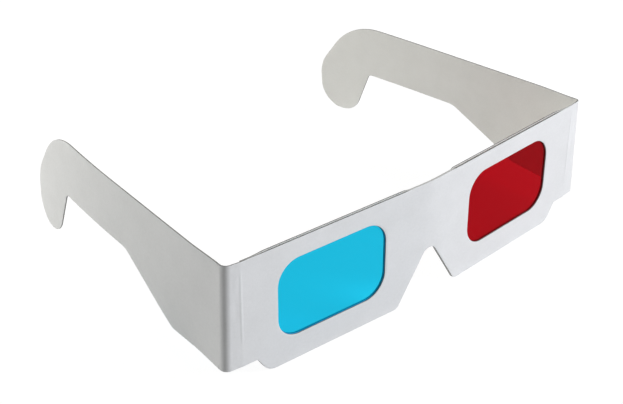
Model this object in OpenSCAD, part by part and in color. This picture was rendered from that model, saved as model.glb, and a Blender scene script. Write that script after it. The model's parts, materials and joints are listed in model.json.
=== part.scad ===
// Folding card viewing glasses with two colour films.
// The front is two card plies with a film between them behind each window. A crease at each end of the
// front carries a temple with a hooked end. The glasses stand on the front's lower edges, with the hooks' tips
// just above the base.
// The wearer looks along -Y, so the wearer's left is +X. Z = 0 is the surface that they stand on.

/* [Front] */
// Width of the front, over the outer faces of the creases, measured along the card
front_w = 140; // [126:1:150]
// Height of the front
front_h = 37; // [35:0.5:41]
// Angle that each half of the front is bent back at the bridge
bridge_bend = 3.3; // [1:0.1:4]
// Radius of the bend at the bridge, on the outer face
bridge_bend_r = 60; // [40:5:90]
// Height of the lower edge at the ends of the front
end_rise = 5.3; // [4:0.1:6.4]
// Distance from a crease's outer face to the top of the slanted step in the lower edge
step_in = 9.8; // [8:0.1:10.4]
// How far the slanted step runs inward on its way down
step_run = 3.6; // [2:0.1:4.4]
// Rounding at the foot of the slanted step
step_foot_r = 2; // [0.5:0.1:3]
// Rounding at the top of the slanted step
step_top_r = 0.8; // [0.3:0.1:1.5]

/* [Nose] */
// Height of the nose notch
nose_h = 15.7; // [13:0.1:18]
// Width of the nose notch at the lower edge, before rounding
nose_w = 23.3; // [20:0.1:25]
// Width of the nose notch at its top, before rounding
nose_top_w = 3.2; // [2.9:0.1:4.5]
// Rounding at the top of the nose notch
nose_top_r = 2.6; // [1:0.1:2.8]
// Rounding at the foot of the nose notch
nose_foot_r = 2.2; // [0.5:0.1:4]

/* [Windows] */
// Width of each window
window_w = 36.7; // [33:0.1:38]
// Height of each window
window_h = 23.6; // [21:0.1:26]
// Corner radius of each window
window_r = 7; // [4:0.1:9]
// How far each window's centre lies outward from the middle of its half of the front
window_shift = 0; // [-1:0.1:1]
// Height of the windows' centres
window_z = 19.5; // [18.5:0.1:20.5]
// How much smaller the lining's window is on each side
lining_lap = 0.2; // [0.1:0.1:1]

/* [Card] */
// Thickness of the outer card
card_t = 0.4; // [0.3:0.05:0.5]
// Thickness of the lining card
lining_t = 0.35; // [0.25:0.05:0.45]
// Distance from a crease's outer face to the lining's end
lining_in = 5.5; // [4:0.1:6]
// How far the lining's upper edge lies below the edge of the outer card
lining_drop = 0.3; // [0:0.05:0.4]
// Inside radius of the creases
crease_r = 0.6; // [0.5:0.05:0.9]

/* [Films and glue] */
// Thickness of the films and of the glue beside them
film_t = 0.15; // [0.1:0.01:0.25]
// Distance between a film and the glue on either side of it
film_gap = 2.4; // [0.5:0.1:4]
// How far a film reaches past its window at the bottom
film_lap_low = 3.6; // [2:0.1:4]
// How far a film's upper edge lies below the edge of the card
film_drop = 0.5; // [0.3:0.1:2]
// Width of the glue patch at the bridge
bridge_bond_w = 16; // [12:0.5:18]
// Width of the glue strip at each end of the lining
end_bond_w = 3.2; // [2:0.1:3.6]
// Distance that glue stays away from card edges
bond_margin = 0.6; // [0.4:0.1:1.5]

/* [Temples] */
// Length of a temple, from the front's outer face to the end of its hook
temple_l = 105.2; // [100:0.2:116]
// Angle that each open temple is turned inward from square to its half of the front
toe_in = 2.5; // [0:0.5:4]
// Length of the full-height root of a temple
root_l = 24.4; // [22:0.2:30]
// Height of the lower edge at the end of the root
root_foot_z = 6.2; // [4.5:0.1:7]
// Distance from the front's outer face to the end of the taper
taper_end = 48.4; // [44:0.1:54]
// Height of the arm behind the taper
arm_h = 17.9; // [15:0.1:20]
// Length of the hook along the arm's lower edge
hook_l = 21.5; // [20:0.1:24]
// How far the hook's inner edge runs back on its way down
hook_run = 8.4; // [7:0.1:9.4]
// Width of the hook's tip before rounding
tip_w = 7; // [5:0.1:8]
// Height of the hook's tip above the base
tip_z = 2; // [0:0.1:3]
// Height at which the hook's back starts to slant in towards the tip
back_z = 5.3; // [4.5:0.1:7]
// How far the slant of the shoulder runs along the top
shoulder_run = 14.4; // [11:0.1:17]
// How far the slant of the shoulder runs down the back
shoulder_drop = 19.3; // [17:0.1:20.4]
// Rounding from the top edge into the shoulder
shoulder_top_r = 24; // [12:1:28]
// Rounding from the shoulder into the back of the hook
shoulder_end_r = 14; // [6:1:16]
// Rounding from the back of the hook into its slant
back_r = 8; // [4:0.5:9]
// Rounding at the back of the tip
tip_back_r = 4; // [1:0.1:4.6]
// Rounding at the front of the tip
tip_front_r = 3.7; // [1:0.1:4.4]
// Rounding in the hook's inner corner
hook_corner_r = 1.6; // [0.5:0.1:3]
// Rounding at the upper end of the taper
taper_top_r = 6.3; // [2:0.1:10]
// Rounding at the lower end of the taper
taper_foot_r = 3; // [1:0.5:6]

/* [Hidden] */

// Smoothness of round faces
$fn = 96;
// Largest turn between two points of a rounded corner, in degrees
arc_step = 4;
// Overrun of a cutting shape past the face that it cuts
over = 1;

half_w = front_w / 2;
// Depths of the layers behind the front's outer face
lining_v = card_t + film_t;
front_back_v = lining_v + lining_t;
// Axis of a crease in the plane of its half of the front: distance from the bridge, depth behind the face
axis_u = half_w - crease_r - card_t;
axis_v = crease_r + card_t;
// Ends of the lining, the glue and the films, and the windows' centres, from the bridge along the card
lining_end_u = half_w - lining_in;
end_bond_u = lining_end_u - bond_margin - end_bond_w;
window_u = half_w / 2 + window_shift;
film_u0 = bridge_bond_w / 2 + film_gap;
film_u1 = end_bond_u - film_gap;
film_z0 = window_z - window_h / 2 - film_lap_low;
film_z1 = front_h - film_drop;
// Places along a temple
arm_low = front_h - arm_h;
hook_s = temple_l - hook_l;
hook_foot_s = hook_s + hook_run;
// Front and back of the whole, which put the origin in the middle of the base
temple_turn = bridge_bend + toe_in;
bend_centre_y = bridge_bend_r / cos(bridge_bend);
y_front = bend_centre_y - bridge_bend_r;
y_axis = axis_u * sin(bridge_bend) + axis_v * cos(bridge_bend);
y_back = y_axis + (crease_r + card_t) * sin(temple_turn) + (temple_l - axis_v) * cos(temple_turn);
y_mid = (y_front + y_back) / 2;

card_white = "#dcdde3";
card_inside = "#c8c8c3";
crease_grey = "#a9a9a6";
glue_clear = "#e8e4d4";
film_red = "#a8101a";
film_cyan = "#1eb9e1";

// Direction from one corner of an outline to another
function heading(from, to) =
    let (d = [to[0] - from[0], to[1] - from[1]])
    d / norm(d);

// Signed angle between two directions, in degrees
function turn(a, b) = atan2(a[0] * b[1] - a[1] * b[0], a * b);

// Points of one corner [x, y, radius] between its neighbours: an arc that touches both edges
function rounded_corner(before, corner, after) =
    let (
        p = [corner[0], corner[1]],
        r = corner[2],
        to_before = heading(corner, before),
        to_after = heading(corner, after),
        half = abs(turn(to_before, to_after)) / 2,
        middle = (to_before + to_after) / norm(to_before + to_after),
        centre = p + middle * r / sin(half),
        first = p + to_before * r / tan(half) - centre,
        last = p + to_after * r / tan(half) - centre,
        start = atan2(first[1], first[0]),
        sweep = turn(first, last),
        steps = ceil(abs(sweep) / arc_step)
    )
    r == 0 ? [p] : [for (k = [0:steps])
        centre + r * [cos(start + sweep * k / steps), sin(start + sweep * k / steps)]];

// Outline through corners [x, y, radius], each rounded by its radius
function rounded_outline(corners) =
    let (n = len(corners))
    [for (i = [0:n - 1])
        each rounded_corner(corners[(i + n - 1) % n], corners[i], corners[(i + 1) % n])];

// Corner list with its mirror image in x added, for an outline that starts and ends on the middle line
function with_mirror(corners) =
    concat(corners, [for (i = [len(corners) - 1:-1:0]) [-corners[i][0], corners[i][1], corners[i][2]]]);

// Plan position of a point on one half of the front: side is 1 or -1, u runs along the card, v behind it
function on_half(side, u, v) =
    [side * (u * cos(bridge_bend) - v * sin(bridge_bend)), u * sin(bridge_bend) + v * cos(bridge_bend)];

// Plan points of the bend at the bridge at one depth, from one half to the other
function bend_arc(v, from, to) =
    let (steps = 6)
    [for (k = [0:steps])
        let (a = from + (to - from) * k / steps)
        [(bridge_bend_r - v) * sin(a), bend_centre_y - (bridge_bend_r - v) * cos(a)]];

// Plan of a bent sheet between two depths that reaches the same distance on both sides of the bridge
module bent_plan(v0, v1, reach) {
    polygon(concat(
        [on_half(-1, reach, v0)],
        bend_arc(v0, -bridge_bend, bridge_bend),
        [on_half(1, reach, v0), on_half(1, reach, v1)],
        bend_arc(v1, bridge_bend, -bridge_bend),
        [on_half(-1, reach, v1)]
    ));
}

// Outline of the front with its nose notch and stepped lower corners, running past the creases
module front_outline() {
    polygon(rounded_outline(with_mirror([
        [nose_top_w / 2, nose_h, nose_top_r],
        [nose_w / 2, 0, nose_foot_r],
        [half_w - step_in - step_run, 0, step_foot_r],
        [half_w - step_in, end_rise, step_top_r],
        [half_w + over, end_rise, 0],
        [half_w + over, front_h, 0]
    ])));
}

// Both window openings, made smaller on every side by an inset
module window_outlines(inset) {
    w = window_w / 2 - inset;
    h = window_h / 2 - inset;
    r = window_r - inset;
    for (side = [-1, 1])
        translate([side * window_u, window_z])
            polygon(rounded_outline([[-w, -h, r], [w, -h, r], [w, h, r], [-w, h, r]]));
}

// Stands a drawing up so that its y is height, and gives it depth through the whole front
module upright() {
    translate([0, half_w, 0])
        rotate([90, 0, 0])
            linear_extrude(front_w)
                children();
}

// One bent ply of the front with its windows, up to a height
module front_ply(v0, v1, reach, window_inset, high) {
    intersection() {
        linear_extrude(high)
            bent_plan(v0, v1, reach);
        upright()
            difference() {
                front_outline();
                window_outlines(window_inset);
            }
    }
}

// Puts the whole with its base centre at the origin
module placed() {
    translate([0, -y_mid, 0])
        children();
}

// Turns a piece drawn square behind the front's face into the plane of the left (1) or right (-1) half
module half(side) {
    mirror([side < 0 ? 1 : 0, 0, 0])
        rotate([0, 0, bridge_bend])
            children();
}

// Film sheet behind one window, trimmed with the card where it would show past the card's edge
module film(side) {
    placed()
        intersection() {
            half(side)
                translate([film_u0, card_t, film_z0])
                    cube([film_u1 - film_u0, film_t, film_z1 - film_z0]);
            upright()
                front_outline();
        }
}

// Strip of glue between the plies at the end of the lining
module end_bond(side) {
    placed()
        half(side)
            translate([end_bond_u, card_t, end_rise + bond_margin])
                cube([end_bond_w, film_t, front_h - end_rise - 2 * bond_margin]);
}

// Bent strip of card about the crease's axis, from the end of the front to the start of the temple
module crease(side) {
    placed()
        half(side)
            translate([axis_u, axis_v, end_rise])
                rotate([0, 0, -90])
                    rotate_extrude(angle = 90 + toe_in)
                        translate([crease_r, 0])
                            square([card_t, front_h - end_rise]);
}

// Temple outline in its own plane: full-height root, taper, arm, and a hook that turns down almost to the base
module temple_outline() {
    polygon(rounded_outline([
        [axis_v, end_rise, 0],
        [root_l, root_foot_z, taper_foot_r],
        [taper_end, arm_low, taper_top_r],
        [hook_s, arm_low, hook_corner_r],
        [hook_foot_s, tip_z, tip_front_r],
        [hook_foot_s + tip_w, tip_z, tip_back_r],
        [temple_l, back_z, back_r],
        [temple_l, front_h - shoulder_drop, shoulder_end_r],
        [temple_l - shoulder_run, front_h, shoulder_top_r],
        [axis_v, front_h, 0]
    ]));
}

// Temple that starts at the end of its crease and turns about the crease's axis
module temple(side) {
    placed()
        half(side)
            translate([axis_u, axis_v, 0])
                rotate([0, 0, toe_in])
                    translate([crease_r, -axis_v, 0])
                        rotate([90, 0, 90])
                            linear_extrude(card_t)
                                temple_outline();
}

module front_card() {
    color(card_white)
        placed()
            front_ply(0, card_t, axis_u, 0, front_h);
}

module lining_card() {
    color(card_inside)
        placed()
            front_ply(lining_v, front_back_v, lining_end_u, lining_lap, front_h - lining_drop);
}

module left_film() {
    color(film_red, 0.8)
        film(1);
}

module right_film() {
    color(film_cyan, 0.8)
        film(-1);
}

// Patch of glue between the plies above the nose, bent with them
module bridge_bond() {
    color(glue_clear)
        placed()
            intersection() {
                linear_extrude(front_h - bond_margin)
                    bent_plan(card_t, lining_v, half_w);
                translate([-bridge_bond_w / 2, -half_w, nose_h + bond_margin])
                    cube([bridge_bond_w, front_w, front_h]);
            }
}

module left_end_bond() {
    color(glue_clear)
        end_bond(1);
}

module right_end_bond() {
    color(glue_clear)
        end_bond(-1);
}

module left_crease() {
    color(crease_grey)
        crease(1);
}

module right_crease() {
    color(crease_grey)
        crease(-1);
}

module left_temple() {
    color(card_white)
        temple(1);
}

module right_temple() {
    color(card_white)
        temple(-1);
}

front_card();
lining_card();
left_film();
right_film();
bridge_bond();
left_end_bond();
right_end_bond();
left_crease();
right_crease();
left_temple();
right_temple();
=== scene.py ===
"""Looks of folding card viewing glasses with a red and a cyan film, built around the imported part."""

import json
import math

import bmesh
import bpy
import numpy as np
from mathutils import Matrix, Vector


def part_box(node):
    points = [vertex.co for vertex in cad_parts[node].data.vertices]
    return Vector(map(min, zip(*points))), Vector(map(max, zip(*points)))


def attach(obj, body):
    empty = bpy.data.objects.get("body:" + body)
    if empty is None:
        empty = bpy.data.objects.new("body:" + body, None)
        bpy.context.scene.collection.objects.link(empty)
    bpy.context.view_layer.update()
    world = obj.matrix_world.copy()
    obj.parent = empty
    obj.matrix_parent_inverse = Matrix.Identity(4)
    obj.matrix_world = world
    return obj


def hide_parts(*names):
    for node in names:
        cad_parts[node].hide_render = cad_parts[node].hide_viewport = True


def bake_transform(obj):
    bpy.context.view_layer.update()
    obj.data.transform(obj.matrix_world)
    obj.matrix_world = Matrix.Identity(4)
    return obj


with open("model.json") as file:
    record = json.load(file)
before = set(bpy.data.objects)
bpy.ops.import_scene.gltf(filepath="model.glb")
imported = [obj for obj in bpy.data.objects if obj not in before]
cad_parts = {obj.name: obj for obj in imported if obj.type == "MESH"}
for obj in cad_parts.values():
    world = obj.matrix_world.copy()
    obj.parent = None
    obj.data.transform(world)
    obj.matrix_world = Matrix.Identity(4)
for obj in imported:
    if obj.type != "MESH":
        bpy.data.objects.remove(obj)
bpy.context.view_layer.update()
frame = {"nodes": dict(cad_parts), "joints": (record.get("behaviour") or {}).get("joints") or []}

# Outer ply of the front
# White clay-coated folding card, die-cut in one sheet with the temples and eased back a bit at the bridge.
# Glue holds it to the lining at the bridge and at its ends. Between them the films keep the two plies apart.
MM = 0.001
card_thick = 0.4
cut_ease = 0.07
front_high = 37.0
front_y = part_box("front_card")[0].y / MM
bridge_turn = math.radians(3.3)
bridge_radius = 60.0
notch_high = 15.7
notch_top, notch_top_round = 1.6, 2.6
notch_foot, notch_foot_round = 11.65, 2.2
step_foot, step_foot_round = 56.6, 5.0
step_head, step_head_round = 60.2, 0.8
end_rise = 5.3
fold_strip_from = 63.6
window_centre = np.array([35.0, 19.5])
window_size = np.array([36.7, 23.6])
window_round = 7.0
bridge_glued_to, bridge_gape_run = 8.0, 2.0
end_glued_from, end_gape_run = 61.5, 5.0
gape_from = 29.0
front_gape = 0.06
# Painted light on the cut edges along the top, where glue holds the plies and no gap shades them: it starts
# and is whole this far below the top. Each end has its own share of it.
edge_light_deep, edge_light_whole = 1.0, 0.2
end_edge_light = {1: 1.0, -1: 0.4}
end_edge_light_from, end_edge_light_to = 50.0, 58.0


def way_along(path):
    """Distance of each point of a path from its first, along the path."""
    return np.r_[0, np.cumsum(np.linalg.norm(np.diff(path, axis=0), axis=1))]


def rounded_path(corners, closed=True, step=0.6, closest=0.02, arc_points=25):
    """Points along an outline through corners (x, y, radius). Each corner gives way to the arc that touches
    both its edges, then the path is filled in so that its points lie no more than a step apart."""
    corner = np.array(corners, float)
    place, radius = corner[:, :2], corner[:, 2:]
    to_before = np.roll(place, 1, 0) - place
    to_after = np.roll(place, -1, 0) - place
    to_before /= np.linalg.norm(to_before, axis=1, keepdims=True)
    to_after /= np.linalg.norm(to_after, axis=1, keepdims=True)
    half = np.arccos(np.clip((to_before * to_after).sum(1, keepdims=True), -1, 1)) / 2
    middle = to_before + to_after
    middle /= np.maximum(np.linalg.norm(middle, axis=1, keepdims=True), 1e-9)
    centre = place + middle * radius / np.sin(half)
    first = place + to_before * radius / np.tan(half) - centre
    last = place + to_after * radius / np.tan(half) - centre
    start = np.arctan2(first[:, 1], first[:, 0])[:, None]
    sweep = np.arctan2(last[:, 1], last[:, 0])[:, None] - start
    sweep = (sweep + np.pi) % (2 * np.pi) - np.pi
    angle = start + sweep * np.linspace(0, 1, arc_points)
    arcs = centre[:, None] + radius[:, None] * np.stack([np.cos(angle), np.sin(angle)], -1)
    path = arcs.reshape(-1, 2)
    if closed:
        path = np.vstack([path, path[:1]])
    path = path[np.r_[True, np.linalg.norm(np.diff(path, axis=0), axis=1) > 1e-6]]
    along = way_along(path)
    stations = np.union1d(along, np.arange(0, along[-1], step))
    stations = stations[np.r_[True, np.diff(stations) > closest]]
    if closed:
        stations = stations[stations < along[-1] - closest]
    return np.column_stack([np.interp(stations, along, path[:, k]) for k in (0, 1)])


def eased(value, low, high):
    """0 below low, 1 above high, and a smooth S between them."""
    t = np.clip((value - low) / (high - low), 0, 1)
    return t * t * (3 - 2 * t)


def half_edge(reach, high):
    """Edge of one half of a front ply, from the bridge to reach: nose notch, lower edge, slanted step."""
    return rounded_path([
        (0, notch_high, 0), (notch_top, notch_high, notch_top_round), (notch_foot, 0, notch_foot_round),
        (step_foot, 0, step_foot_round), (step_head, end_rise, step_head_round),
        (reach, end_rise, 0), (reach, high, 0), (0, high, 0),
    ])


def window_edge(inset):
    """Window of one half of the front, smaller on every side by an inset."""
    half = window_size / 2 - inset
    low, high, r = window_centre - half, window_centre + half, window_round - inset
    return rounded_path([(*low, r), (high[0], low[1], r), (*high, r), (low[0], high[1], r)], step=0.2)


def framed_half(edge, window, rings=18):
    """Grid between a window and an edge. Each point of the edge is joined to the window's point in the same
    direction from the window's centre, and the rings lie evenly between them."""
    toward = edge - window_centre
    angle = np.arctan2(toward[:, 1], toward[:, 0])
    around = window - window_centre
    around_angle = np.arctan2(around[:, 1], around[:, 0])
    reach = np.interp(angle, around_angle, np.linalg.norm(around, axis=1), period=2 * np.pi)
    inner = window_centre + reach[:, None] * np.stack([np.cos(angle), np.sin(angle)], -1)
    share = np.linspace(0, 1, rings)
    return inner + share[:, None, None] * (edge - inner)


def grid_quads(rows, columns, closed=False):
    """Corner numbers of the faces of a grid that is numbered row by row, closed along its rows if asked."""
    number = np.arange(rows * columns).reshape(rows, columns)
    if closed:
        number = np.hstack([number, number[:, :1]])
    corners = [number[:-1, :-1], number[1:, :-1], number[1:, 1:], number[:-1, 1:]]
    return np.stack(corners, -1).reshape(-1, 4)


def on_front(u, depth, z):
    """Places on the front: u runs along the card from the bridge, depth lies behind its outer face. Within
    the bend the card turns about an upright axis behind it, and beyond the bend each half is flat."""
    flat_from = bridge_radius * math.tan(bridge_turn)
    turn = np.clip(u / flat_from, -1, 1) * bridge_turn
    beyond = u - np.clip(u, -flat_from, flat_from)
    x = (bridge_radius - depth) * np.sin(turn) + beyond * np.cos(turn)
    y = front_y + bridge_radius - (bridge_radius - depth) * np.cos(turn) + beyond * np.sin(turn)
    return np.stack([x, y, z], -1) * MM


def gaping(u, z):
    """Share of the gape between the plies: none where glue holds them, most along the top over each film."""
    out = np.abs(u)
    over_film = eased(out, bridge_glued_to, bridge_glued_to + bridge_gape_run) * (
        1 - eased(out, end_glued_from - end_gape_run, end_glued_from))
    return over_film * eased(z, gape_from, front_high)


def painted_light_on_top(side, u, z):
    """Share of painted light on a ply's cut edge: along the top where glue holds the plies, changing to the
    share of that end of the front, and none elsewhere."""
    along_top = eased(z, front_high - edge_light_deep, front_high - edge_light_whole) * (1 - gaping(u, z))
    return along_top * (1 - (1 - end_edge_light[side]) * eased(u, end_edge_light_from, end_edge_light_to))


def both_painted_light(grid):
    """Painted light of the left half of a front ply and then of its right half, at the points of one grid.
    """
    return np.stack([painted_light_on_top(side, grid[..., 0], grid[..., 1]) for side in (1, -1)])


def both_halves(grid, depth):
    """Points and faces of a front ply from the grid of its left half, with the right half mirrored."""
    rows, columns = grid.shape[:2]
    u, z = grid[..., 0].ravel(), grid[..., 1].ravel()
    quads = grid_quads(rows, columns, closed=True)
    points = np.vstack([on_front(side * u, depth(side, u, z), z) for side in (1, -1)])
    return points, np.vstack([quads, quads[:, ::-1] + rows * columns])


def card_sheet(name, points, faces, thick, finishes, marks):
    """Card piece from the points of its outer face and their marks: doubled points are merged, the card gets
    its thickness behind that face, and its free cut edges are eased. Points that are marked joined lie
    against the next piece."""
    mesh = bpy.data.meshes.new(name)
    mesh.from_pydata(points, [], faces)
    for mark, values in marks.items():
        marked = mesh.attributes.new(mark, "FLOAT", "POINT").data
        marked.foreach_set("value", values.ravel().astype(np.float32))
    work = bmesh.new()
    work.from_mesh(mesh)
    bmesh.ops.remove_doubles(work, verts=work.verts, dist=1e-7)
    work.to_mesh(mesh)
    work.free()
    mesh.shade_smooth()
    ends = np.empty(2 * len(mesh.edges), np.int32)
    mesh.edges.foreach_get("vertices", ends)
    used = np.empty(len(mesh.loops), np.int32)
    mesh.loops.foreach_get("edge_index", used)
    held = np.empty(len(mesh.vertices), np.float32)
    mesh.attributes["joined"].data.foreach_get("value", held)
    rim = np.bincount(used, minlength=len(mesh.edges)) == 1
    butted = rim & (held[ends.reshape(-1, 2)].min(1) > 0.5)
    mesh.attributes.new("bevel_weight_edge", "FLOAT", "EDGE").data.foreach_set(
        "value", (rim & ~butted).astype(np.float32))
    mesh.attributes.new("sharp_edge", "BOOLEAN", "EDGE").data.foreach_set("value", butted)
    for finish in finishes:
        mesh.materials.append(finish)
    piece = bpy.data.objects.new(name, mesh)
    bpy.context.scene.collection.objects.link(piece)
    wall = piece.modifiers.new("card", "SOLIDIFY")
    wall.thickness, wall.offset, wall.use_even_offset = thick * MM, -1, True
    wall.material_offset, wall.material_offset_rim = 1, 2
    ease = piece.modifiers.new("eased cut", "BEVEL")
    ease.limit_method, ease.width, ease.segments = "WEIGHT", cut_ease * MM, 2
    piece.modifiers.new("flat faces", "WEIGHTED_NORMAL").keep_sharp = True
    return piece


def srgb(code):
    """Linear colour of an sRGB hex value."""
    share = [int(code[k:k + 2], 16) / 255 for k in (1, 3, 5)]
    return [c / 12.92 if c <= 0.04045 else ((c + 0.055) / 1.055) ** 2.4 for c in share] + [1.0]


def put(tree, kind, inputs=None, **settings):
    """Adds a node. Each input, by name or number, is given a value or the output that feeds it."""
    made = tree.nodes.new(kind)
    for name, value in settings.items():
        setattr(made, name, value)
    for name, value in (inputs or {}).items():
        if isinstance(value, bpy.types.NodeSocket):
            tree.links.new(value, made.inputs[name])
        else:
            made.inputs[name].default_value = value
    return made


def paper(name, plain, second, mark, roughness, fibre_mm, cloud_mm, relief_mm):
    """Paper surface. Clouds of pulp shade it over millimetres, fibres shade it and raise it at their own
    width, and where the points are marked it takes its second colour. The fibres are drawn ten or more times
    as wide as real ones, which are too fine to show."""
    most_mottle, rough_swing = 0.1, 0.05
    made = bpy.data.materials.new(name)
    made.use_nodes = True
    tree = made.node_tree
    shader = tree.nodes["Principled BSDF"]
    place = put(tree, "ShaderNodeTexCoord").outputs["Object"]
    marked = put(tree, "ShaderNodeAttribute", attribute_name=mark).outputs["Fac"]
    cloud = put(tree, "ShaderNodeTexNoise", {"Vector": place, "Scale": 1 / (cloud_mm * MM), "Detail": 2.0})
    fibre = put(tree, "ShaderNodeTexNoise", {
        "Vector": place, "Scale": 1 / (fibre_mm * MM), "Detail": 3.0, "Roughness": 0.6, "Distortion": 0.8})
    mottle = put(tree, "ShaderNodeMath", {0: cloud.outputs["Fac"], 1: fibre.outputs["Fac"]}, operation="ADD")
    worn = put(tree, "ShaderNodeMapRange", {
        "Value": mottle.outputs[0], "From Min": 0.7, "From Max": 1.3, "To Min": 0.0, "To Max": most_mottle})
    share = put(tree, "ShaderNodeMath", {0: worn.outputs[0], 1: marked}, operation="ADD", use_clamp=True)
    colour = put(tree, "ShaderNodeMix", {
        0: share.outputs[0], 6: srgb(plain), 7: srgb(second)}, data_type="RGBA")
    rough = put(tree, "ShaderNodeMapRange", {
        "Value": fibre.outputs["Fac"], "From Min": 0.3, "From Max": 0.7,
        "To Min": roughness - rough_swing, "To Max": roughness + rough_swing})
    relief = put(tree, "ShaderNodeBump", {
        "Height": fibre.outputs["Fac"], "Strength": 1.0, "Distance": relief_mm * MM})
    tree.links.new(colour.outputs[2], shader.inputs["Base Color"])
    tree.links.new(rough.outputs[0], shader.inputs["Roughness"])
    tree.links.new(relief.outputs[0], shader.inputs["Normal"])
    return made


# Clay coating, calendered: an even cool white with a soft sheen. Its grey second colour marks the rubbed
# fold and is partly painted shade.
coated_card = paper("clay_coated_card", "#e5e6e7", "#8f908c", "rubbed_and_painted_shade", 0.48, 0.7, 9.0, 0.006)
# Bare back of the same board: a little warmer and duller, with more of its fibre showing. It is set paler
# than the coated face, painted light on the inner faces. Its grey second colour marks the rubbed fold and is
# partly painted shade.
card_back = paper("uncoated_card_back", "#f2f2ef", "#b5b3ab", "rubbed_and_painted_shade", 0.78, 0.6, 6.0, 0.012)
# Cut through the board's core of grey pulp, rough and dull. The grey is darkened further as painted shade,
# and it turns pale as painted light along the top, where glue holds the plies and no gap shades the edge.
cut_edge = paper("grey_core_and_painted_shade_cut_edge", "#848380", "#dcdcd9", "painted_edge_light", 0.9, 0.3, 3.0, 0.02)
card_finishes = [coated_card, card_back, cut_edge]

front_grid = framed_half(half_edge(fold_strip_from, front_high), window_edge(0))
points, faces = both_halves(front_grid, lambda side, u, z: -front_gape * gaping(u, z))
at_strip = np.tile(np.abs(front_grid[..., 0].ravel() - fold_strip_from) < 0.01, 2)
front_sheet = card_sheet("front_sheet", points, faces, card_thick, card_finishes, {
    "joined": at_strip, "painted_edge_light": both_painted_light(front_grid)})
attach(front_sheet, "front")
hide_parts("front_card")

# Lining of the front
# A second, thinner ply of card, with slightly smaller windows so that it laps the films. It is glued to the
# outer ply at the bridge and at both ends, and its upper edge leans back where the films lie between.
lining_thick = 0.35
lining_depth = 0.55
lining_reach = 64.5
lining_lap = 0.15
lining_drop = 0.15
lining_gape = {1: 0.5, -1: 0.4}
# Its cut edge is darker than the outer ply's, painted shade of the seam between the plies.
lining_edge = paper("painted_shade_lining_cut_edge", "#5e5d5a", "#dcdcd9", "painted_edge_light", 0.9, 0.3, 3.0, 0.02)
lining_grid = framed_half(half_edge(lining_reach, front_high - lining_drop), window_edge(lining_lap))
points, faces = both_halves(
    lining_grid, lambda side, u, z: lining_depth + lining_gape[side] * gaping(u, z))
lining_sheet = card_sheet("lining_sheet", points, faces, lining_thick, [card_back, card_back, lining_edge], {
    "joined": np.zeros(len(points)), "painted_edge_light": both_painted_light(lining_grid)})
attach(lining_sheet, "front")
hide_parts("lining_card")

# Films
# Dyed cellulose film, cut as plain rectangles and laid between the plies: red before the wearer's left eye
# and cyan before the right. Only the plies hold them, so they belly a little in the open windows.
film_thick = 0.12
film_depth = 0.415
film_low, film_high = np.array([10.4, 4.1]), np.array([58.3, 36.5])
film_belly = 0.1
film_points = 49


def dyed_film(name, passed):
    """Clear dyed film. Light that passes is dyed at each of the sheet's two faces by the square root of the
    whole sheet's colour, and a tenth of it is scattered by the dye there. The gloss is faint from the front
    and grows with the fifth power of the slant."""
    scattered, slant_power, most_gloss = 0.1, 5.0, 0.25
    ripple_wide, ripple_high = 12 * MM, 0.05 * MM
    made = bpy.data.materials.new(name)
    made.use_nodes = True
    tree = made.node_tree
    tree.nodes.remove(tree.nodes["Principled BSDF"])
    place = put(tree, "ShaderNodeTexCoord").outputs["Object"]
    ripple = put(tree, "ShaderNodeTexNoise", {"Vector": place, "Scale": 1 / ripple_wide, "Detail": 1.0})
    relief = put(tree, "ShaderNodeBump", {"Height": ripple.outputs["Fac"], "Distance": ripple_high})
    face_colour = [math.sqrt(c) for c in srgb(passed)]
    clear = put(tree, "ShaderNodeBsdfTransparent", {"Color": face_colour})
    cloudy = put(tree, "ShaderNodeBsdfDiffuse", {"Color": srgb(passed)})
    dyed = put(tree, "ShaderNodeMixShader", {0: scattered, 1: clear.outputs[0], 2: cloudy.outputs[0]})
    gloss = put(tree, "ShaderNodeBsdfGlossy", {"Roughness": 0.08, "Normal": relief.outputs[0]})
    slant = put(tree, "ShaderNodeLayerWeight", {"Blend": 0.5, "Normal": relief.outputs[0]}).outputs["Facing"]
    steep = put(tree, "ShaderNodeMath", {0: slant, 1: slant_power}, operation="POWER").outputs[0]
    mirrored = put(tree, "ShaderNodeMath", {0: steep, 1: most_gloss}, operation="MULTIPLY").outputs[0]
    whole = put(tree, "ShaderNodeMixShader", {0: mirrored, 1: dyed.outputs[0], 2: gloss.outputs[0]})
    tree.links.new(whole.outputs[0], tree.nodes["Material Output"].inputs["Surface"])
    return made


film_kinds = {
    "left": (1, dyed_film("red_cellulose_film", "#b70415"), "red_film"),
    "right": (-1, dyed_film("cyan_cellulose_film", "#24d3f7"), "cyan_film"),
}
for eye, (side, finish, film_slot) in film_kinds.items():
    u, z = np.meshgrid(*[np.linspace(film_low[k], film_high[k], film_points) for k in (0, 1)])
    off = (np.stack([u, z], -1) - window_centre) / (window_size / 2)
    belly = film_belly * np.clip(1 - off ** 2, 0, None).prod(-1)
    points = on_front(side * u.ravel(), film_depth + belly.ravel(), z.ravel())
    faces = grid_quads(*u.shape)[:, ::-side]
    mesh = bpy.data.meshes.new(f"{eye}_film_sheet")
    mesh.from_pydata(points, [], faces)
    mesh.shade_smooth()
    mesh.materials.append(finish)
    film_sheet = bpy.data.objects.new(mesh.name, mesh)
    bpy.context.scene.collection.objects.link(film_sheet)
    wall = film_sheet.modifiers.new("film", "SOLIDIFY")
    wall.thickness, wall.offset = film_thick * MM, -1
    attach(film_sheet, "front")
    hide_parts(f"{eye}_film")

# Glue between the plies
# Patches of white craft glue at the bridge and at the lining's ends, pressed as thin as the films and dried
# to a pale cream. They hardly show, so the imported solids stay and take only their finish.
dried_glue = paper("dried_white_glue", "#e9e5d6", "#c9c3ae", "rubbed_and_painted_shade", 0.35, 1.2, 4.0, 0.01)
for patch in ("bridge_bond", "left_end_bond", "right_end_bond"):
    glue = frame["nodes"][patch]
    glue.data.materials.clear()
    glue.data.materials.append(dried_glue)
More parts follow.
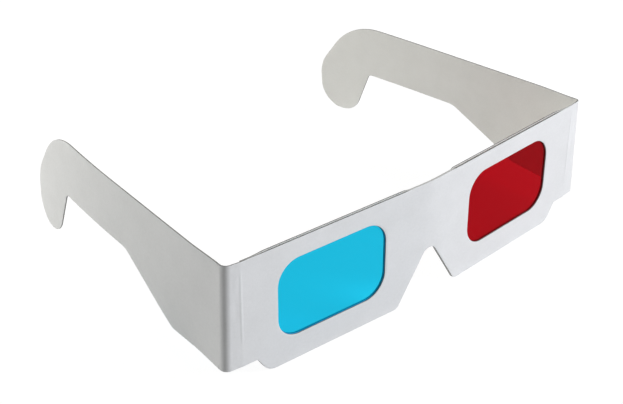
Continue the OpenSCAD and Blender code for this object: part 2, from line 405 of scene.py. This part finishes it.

# Folds at the ends of the front
# The card is scored and folded here. Past the lining's end it is a single ply, which leaves a faint ridge on
# the lining, eases back towards the fold and turns through a soft round corner. There the coating is rubbed
# and also painted darker, painted shade of the fold that turns to the viewer.
ends_of_front = {1: "left", -1: "right"}
toe_in = math.radians(2.5)
fold_radius = 1.0
fold_soft_radius = {1: 1.3, -1: 2.2}
fold_flare = {1: 0.6, -1: 0.4}
ply_line, ply_line_round = 64.9, 8.0
strip_lean = math.radians(5.0)
strip_turn_from = 66.5
temple_from = 2.8
ridge_high, ridge_wide = 0.07, 0.35
ridge_foot, ridge_top, ridge_fade = 12.0, 32.0, 3.0
waver_high, waver_run, waver_to = 0.03, 1.5, 67.8
waver_long, waver_short, waver_shift, waver_short_share = 3.1, 1.7, 0.6, 0.6
rub_and_shade_share, rub_and_shade_wide = 0.35, 0.6
fold_edge_light_share, fold_edge_light_to = 0.7, 68.0
axis_on_half = np.array([69.0, 1.0])
fold_axis = {side: np.array(joint["pos_m"][:2]) / MM
             for joint in frame["joints"]
             for side, end in ends_of_front.items() if joint["name"].startswith(end)}
across = np.array([math.cos(toe_in), math.sin(toe_in)])
away = np.array([-math.sin(toe_in), math.cos(toe_in)])
temple_face = axis_on_half + fold_radius * across
temple_start = temple_face + (temple_from - fold_radius) * away
strip_start = np.array([ply_line, 0])
strip_way = np.array([math.cos(strip_lean), math.sin(strip_lean)])
strip_length = np.linalg.solve(np.stack([strip_way, -away], -1), temple_face - strip_start)[0]
fold_corner = strip_start + strip_length * strip_way
fold_z = np.linspace(end_rise, front_high, 65)


def flared(side, z):
    """How far a fold stands outward: a straight lean, from its whole flare at the foot to as much inward at
    the top."""
    half_high = (front_high - end_rise) / 2
    return fold_flare[side] * (end_rise + half_high - z) / half_high


for side, end in ends_of_front.items():
    soft = fold_soft_radius[side]
    fold_line = rounded_path([
        (fold_strip_from, 0, 0), (ply_line, 0, ply_line_round), (*fold_corner, soft), (*temple_start, 0),
    ], closed=False, step=0.12)
    u, z = np.meshgrid(fold_line[:, 0], fold_z)
    depth = np.broadcast_to(fold_line[:, 1], u.shape)
    ridge = ridge_high * np.exp(-((u - ply_line) / ridge_wide) ** 2)
    ridge = ridge * eased(z, ridge_foot, ridge_foot + ridge_fade)
    ridge = ridge * (1 - eased(z, ridge_top, ridge_top + ridge_fade))
    single_ply = eased(u, ply_line, ply_line + waver_run) * (1 - eased(u, strip_turn_from, waver_to))
    waver = waver_high * single_ply * (
        np.sin(z / waver_long + waver_shift) + waver_short_share * np.sin(z / waver_short))
    depth = depth - ridge + waver
    crown = fold_corner - np.array([soft, -soft]) * (1 - math.sqrt(0.5))
    # Grey at the fold's crown: rubbed coating and painted shade.
    rubbed_and_painted_shade = rub_and_shade_share * np.exp(-(((u - crown[0]) ** 2 + (depth - crown[1]) ** 2) / rub_and_shade_wide ** 2))
    # Painted light on the fold's cut edge along the top, fading out before the round corner.
    painted_edge_light = fold_edge_light_share * painted_light_on_top(side, u, z) * (1 - eased(u, strip_turn_from, fold_edge_light_to))
    outward = flared(side, z) * eased(u, ply_line, fold_corner[0] - soft)
    u, depth = u + outward * across[0], depth + outward * across[1]
    points = on_front(side * u.ravel(), depth.ravel(), z.ravel())
    faces = grid_quads(*u.shape)[:, ::-side]
    at_ends = np.zeros(u.shape, bool)
    at_ends[:, [0, -1]] = True
    fold_sheet = card_sheet(f"{end}_fold_sheet", points, faces, card_thick, card_finishes, {
        "joined": at_ends, "rubbed_and_painted_shade": rubbed_and_painted_shade, "painted_edge_light": painted_edge_light})
    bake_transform(fold_sheet)
    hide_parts(f"{end}_crease")

# Temples
# Each temple is the same sheet of card as the front: a full-height root, a taper, a slim arm and a hook for
# the ear. The card keeps a slight curl towards the head, more on the right one, which has been flexed.
temple_turn = bridge_turn + toe_in
temple_length = 105.2
arm_low = 19.1
root_to, root_rise, root_round = 24.4, 6.2, 3.0
taper_to, taper_round = 48.4, 6.3
hook_from, hook_round = 83.7, 1.6
hook_crown = np.array([84.5, front_high])
crown_to, crown_round = 90.8, 24.0
back_low, back_round = 17.7, 14.0
tip_inner, tip_outer = (88.0, 9.03), (temple_length, 11.5)
tip_corners = [(91.0, 2.0, 8.5), (99.1, 2.0, 4.0), (temple_length, 5.3, 8.0)]
hook_share = 0.6
arm_lines, hook_lines, long_lines = 150, 26, 25
tip_gather = 8
lean = {1: math.radians(5.1), -1: math.radians(2.4)}
lean_from, lean_to = 2.0, 32.0
flare_to = 16.0
curl = {1: 1.45, -1: 2.7}
curl_from = 55.0
lower_rail = rounded_path([
    (temple_from, end_rise, 0), (root_to, root_rise, root_round), (taper_to, arm_low, taper_round),
    (hook_from, arm_low, hook_round), (*tip_inner, 0),
], closed=False)
upper_rail = rounded_path([
    (temple_from, front_high, 0), (crown_to, front_high, crown_round),
    (temple_length, back_low, back_round), (*tip_outer, 0),
], closed=False)
tip_line = rounded_path([(*lower_rail[-1], 0), *tip_corners, (*upper_rail[-1], 0)], closed=False, step=0.2)


def rail_points(rail, turning, share):
    """Points of a temple's edge at a share of its way, with its turn into the hook always at one share."""
    along = way_along(rail)
    turn_at = along[np.argmin(np.linalg.norm(rail - turning, axis=1))]
    where = np.interp(share, [0, hook_share, 1], [0, turn_at, along[-1]])
    return np.column_stack([np.interp(where, along, rail[:, k]) for k in (0, 1)])


def on_temple(side, s, out, z):
    """Places on a temple: s runs back from the front's face, out is how far outward from the fold's axis."""
    axis = fold_axis[side]
    x = abs(axis[0]) + out * math.cos(temple_turn) - (s - fold_radius) * math.sin(temple_turn)
    y = axis[1] + out * math.sin(temple_turn) + (s - fold_radius) * math.cos(temple_turn)
    return np.stack([side * x, y, z], -1) * MM


share = np.r_[np.linspace(0, hook_share, arm_lines), np.linspace(hook_share, 1, hook_lines)[1:]]
low_edge = rail_points(lower_rail, np.array([hook_from, arm_low]), share)
high_edge = rail_points(upper_rail, hook_crown, share)
across_share = np.linspace(0, 1, long_lines)[:, None]
ribbon = low_edge + across_share[..., None] * (high_edge - low_edge)
# Along the hook the lines across the card bulge more and more, until the last one is the round tip.
tip_along = way_along(tip_line)
tip_at = across_share[:, 0] * tip_along[-1]
bulge = np.column_stack([np.interp(tip_at, tip_along, tip_line[:, k]) for k in (0, 1)]) - ribbon[:, -1]
bulging = np.clip((share - hook_share) / (1 - hook_share), 0, 1) ** tip_gather
ribbon = ribbon + bulge[:, None] * bulging[:, None]
s, z = ribbon[..., 0], ribbon[..., 1]
for side, end in ends_of_front.items():
    spread = math.tan(lean[side]) * (front_high - z) * eased(s, lean_from, lean_to)
    spread = spread + flared(side, z) * (1 - eased(s, temple_from, flare_to))
    spread = spread - curl[side] * np.clip((s - curl_from) / (temple_length - curl_from), 0, None) ** 2
    points = on_temple(side, s.ravel(), (fold_radius + spread).ravel(), z.ravel())
    faces = grid_quads(*s.shape)[:, ::-side]
    at_fold = np.zeros(s.shape, bool)
    at_fold[:, 0] = True
    temple_sheet = card_sheet(
        f"{end}_temple_sheet", points, faces, card_thick, card_finishes, {"joined": at_fold})
    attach(temple_sheet, f"{end}_temple")
    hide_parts(f"{end}_temple")

# Floor and light
# The glasses stand on a white floor that shows white to the eye and keeps a soft shadow. Seen through a film
# it glows less, painted shade of the floor behind the front. One soft box stands to the viewer's right, and
# a weaker one behind to the left.
scene = bpy.context.scene
scene.view_settings.view_transform = "Standard"
floor_half = 3.0
floor_bounce = 0.8
shown_shade, shown_glow = 0.15, 0.93
film_shade, film_glow = 0.4, 0.6
floor_mesh = bpy.data.meshes.new("floor")
floor_corners = [(x * floor_half, y * floor_half, 0) for x, y in ((-1, -1), (1, -1), (1, 1), (-1, 1))]
floor_mesh.from_pydata(floor_corners, [], [(0, 1, 2, 3)])
floor = bpy.data.objects.new("floor", floor_mesh)
scene.collection.objects.link(floor)


def shown_floor(tree, shade, glow):
    """Floor as it is shown: a grey that takes light and shadow, with a steady glow added."""
    grey = put(tree, "ShaderNodeBsdfDiffuse", {"Color": (shade, shade, shade, 1)})
    light = put(tree, "ShaderNodeEmission", {"Strength": glow})
    return put(tree, "ShaderNodeAddShader", {0: grey.outputs[0], 1: light.outputs[0]}).outputs[0]


floor_white = bpy.data.materials.new("white_floor")
floor_white.use_nodes = True
tree = floor_white.node_tree
tree.nodes.remove(tree.nodes["Principled BSDF"])
ray = put(tree, "ShaderNodeLightPath").outputs
seen = ray["Is Camera Ray"]
for way in ("Is Glossy Ray", "Is Transmission Ray"):
    seen = put(tree, "ShaderNodeMath", {0: seen, 1: ray[way]}, operation="MAXIMUM").outputs[0]
behind_film = put(tree, "ShaderNodeMath", {0: ray["Transparent Depth"], 1: 0.5}, operation="GREATER_THAN")
bounced = put(tree, "ShaderNodeBsdfDiffuse", {"Color": (floor_bounce, floor_bounce, floor_bounce, 1)})
plain = shown_floor(tree, shown_shade, shown_glow)
# Behind a film the glow is lower: painted shade of the floor behind the front.
painted_shade_behind_film = shown_floor(tree, film_shade, film_glow)
shown = put(tree, "ShaderNodeMixShader", {0: behind_film.outputs[0], 1: plain, 2: painted_shade_behind_film})
whole = put(tree, "ShaderNodeMixShader", {0: seen, 1: bounced.outputs[0], 2: shown.outputs[0]})
tree.links.new(whole.outputs[0], tree.nodes["Material Output"].inputs["Surface"])
floor_mesh.materials.append(floor_white)

sky_light, sky_shown = 0.22, 0.965
world = bpy.data.worlds.new("studio")
scene.world = world
world.use_nodes = True
tree = world.node_tree
around = tree.nodes["Background"]
around.inputs["Color"].default_value = (1, 1, 1, 1)
around.inputs["Strength"].default_value = sky_light
beyond = put(tree, "ShaderNodeBackground", {"Color": (1, 1, 1, 1), "Strength": sky_shown})
ray = put(tree, "ShaderNodeLightPath").outputs
sky = put(tree, "ShaderNodeMixShader", {0: ray["Is Camera Ray"], 1: around.outputs[0], 2: beyond.outputs[0]})
tree.links.new(sky.outputs[0], tree.nodes["World Output"].inputs["Surface"])

# Each soft box has its place, its width, its power in watts and its tint.
lamp_aim = Vector((0, 0, 0.02))
lamps = {
    "right_box": ((0.54, -0.62, 0.38), 0.4, 6.5, (0.955, 0.965, 1.0)),
    "left_box": ((-0.19, 0.30, 0.16), 0.3, 0.91, (1.0, 0.985, 0.92)),
}
for name, (place, size, power, tint) in lamps.items():
    data = bpy.data.lights.new(name, "AREA")
    data.shape, data.size, data.energy, data.color = "DISK", size, power, tint
    lamp = bpy.data.objects.new(name, data)
    scene.collection.objects.link(lamp)
    lamp.location = place
    lamp.rotation_euler = (lamp_aim - Vector(place)).to_track_quat("-Z", "Y").to_euler()

# Camera
# A short telephoto view from the wearer's right, before and above the front.
view_turn, view_rise, view_roll = math.radians(-42.45), math.radians(30.19), math.radians(0.1)
view_distance = 0.395
view_aim = Vector((-0.00803, -0.01442, 0.01622))
frame_width, focal_pixels = 623, 1347.0
camera = bpy.data.objects.new("camera", bpy.data.cameras.new("camera"))
scene.collection.objects.link(camera)
back = Vector((math.sin(view_turn) * math.cos(view_rise), -math.cos(view_turn) * math.cos(view_rise),
               math.sin(view_rise)))
camera.data.sensor_width = 36
camera.data.lens = focal_pixels / frame_width * camera.data.sensor_width
camera.matrix_world = (Matrix.Translation(view_aim + view_distance * back)
                       @ (-back).to_track_quat("-Z", "Y").to_matrix().to_4x4()
                       @ Matrix.Rotation(view_roll, 4, "Z"))
camera.data.clip_start = 0.01
scene.camera = camera
